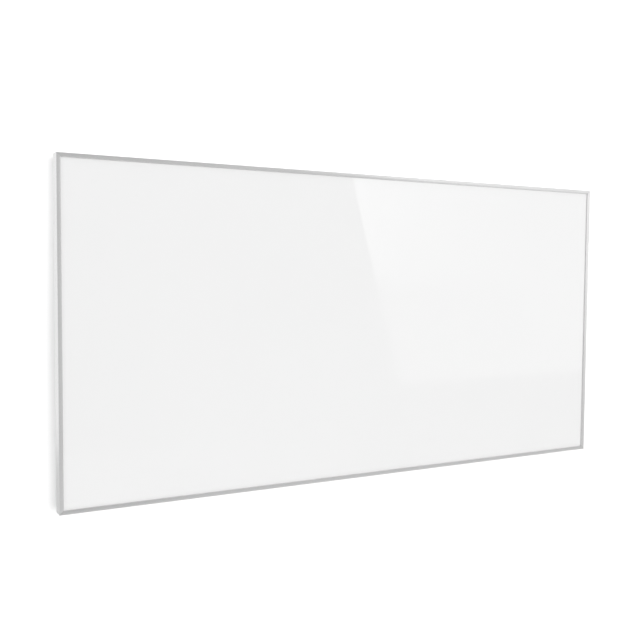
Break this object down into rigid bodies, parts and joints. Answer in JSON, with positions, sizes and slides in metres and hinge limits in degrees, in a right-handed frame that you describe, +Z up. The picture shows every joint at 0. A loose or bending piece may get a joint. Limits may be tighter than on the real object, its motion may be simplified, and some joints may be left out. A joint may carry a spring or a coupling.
{
  "type": "infrared panel heater",
  "caption": "Slim wall-hung infrared heating panel: white glass face in a mitred aluminium frame, keyhole brackets and wall standoffs behind it.",
  "frame": {"origin": "on the wall plane, at the centre of the four wall screws", "axes": "+X along the panel to the right as seen from the room, +Y into the wall, +Z up"},
  "size_m": [1.2, 0.05, 0.6],
  "materials": {
    "white_glass": "white-printed tempered glass, gloss",
    "gasket_silicone": "white silicone, matte",
    "frame_aluminium": "satin anodised",
    "cast_key": "die-cast",
    "zinc_screw": "zinc plated",
    "carbon_film": "printed carbon film",
    "copper": "bare copper strip",
    "tinned_brass": "tinned brass",
    "glass_fibre_sheet": "glass-fibre laminate",
    "reflector_foil": "bright foil",
    "insulation_wool": "pressed mineral wool board",
    "cutout_case": "plated steel case",
    "back_plate_steel": "white powder coat, satin",
    "box_plastic": "moulded, fine texture",
    "terminal_plastic": "moulded nylon",
    "gland_plastic": "moulded nylon",
    "gland_rubber": "soft rubber, matte",
    "lead_brown": "silicone insulation",
    "lead_blue": "silicone insulation",
    "lead_green_yellow": "silicone insulation",
    "rivet_aluminium": "plain",
    "bracket_steel": "galvanised sheet",
    "standoff_steel": "turned, nickel plated"
  },
  "bodies": {
    "wall_standoffs": {"wall_standoff_top_left": "standoff_steel", "wall_standoff_top_right": "standoff_steel", "wall_standoff_bottom_left": "standoff_steel", "wall_standoff_bottom_right": "standoff_steel"},
    "panel": {"front_glass": "white_glass", "glass_gasket": "gasket_silicone", "frame_top": "frame_aluminium", "frame_bottom": "frame_aluminium", "frame_left": "frame_aluminium", "frame_right": "frame_aluminium", "corner_key_top_left": "cast_key", "corner_key_top_right": "cast_key", "corner_key_bottom_left": "cast_key", "corner_key_bottom_right": "cast_key", "corner_key_screws": "zinc_screw", "heating_film": "carbon_film", "busbar_top": "copper", "busbar_bottom": "copper", "busbar_tabs": "tinned_brass", "cover_sheet": "glass_fibre_sheet", "reflector_foil": "reflector_foil", "insulation_board": "insulation_wool", "thermal_cutout": "cutout_case", "cutout_strap": "reflector_foil", "back_plate": "back_plate_steel", "back_plate_screws": "zinc_screw", "junction_box_base": "box_plastic", "junction_box_lid": "box_plastic", "junction_box_lid_screws": "zinc_screw", "junction_box_rivets": "rivet_aluminium", "terminal_block": "terminal_plastic", "terminal_clamps": "tinned_brass", "terminal_screws": "zinc_screw", "terminal_fixing_screws": "zinc_screw", "earth_stud": "zinc_screw", "earth_nut": "zinc_screw", "earth_tag": "tinned_brass", "cable_gland_body": "gland_plastic", "cable_gland_locknut": "gland_plastic", "cable_gland_seal": "gland_rubber", "cable_gland_dome_nut": "gland_plastic", "lead_grommet": "gland_rubber", "live_lead": "lead_brown", "link_lead": "lead_brown", "neutral_lead": "lead_blue", "earth_lead": "lead_green_yellow", "hanger_rivets": "rivet_aluminium", "hanger_bracket_top_left": "bracket_steel", "hanger_bracket_top_right": "bracket_steel", "hanger_bracket_bottom_left": "bracket_steel", "hanger_bracket_bottom_right": "bracket_steel"}
  },
  "joints": [
    {"name": "lift_off", "type": "slide", "parent": "wall_standoffs", "child": "panel", "axis": [0, 0, 1], "range_m": [0, 0.012]}
  ]
}
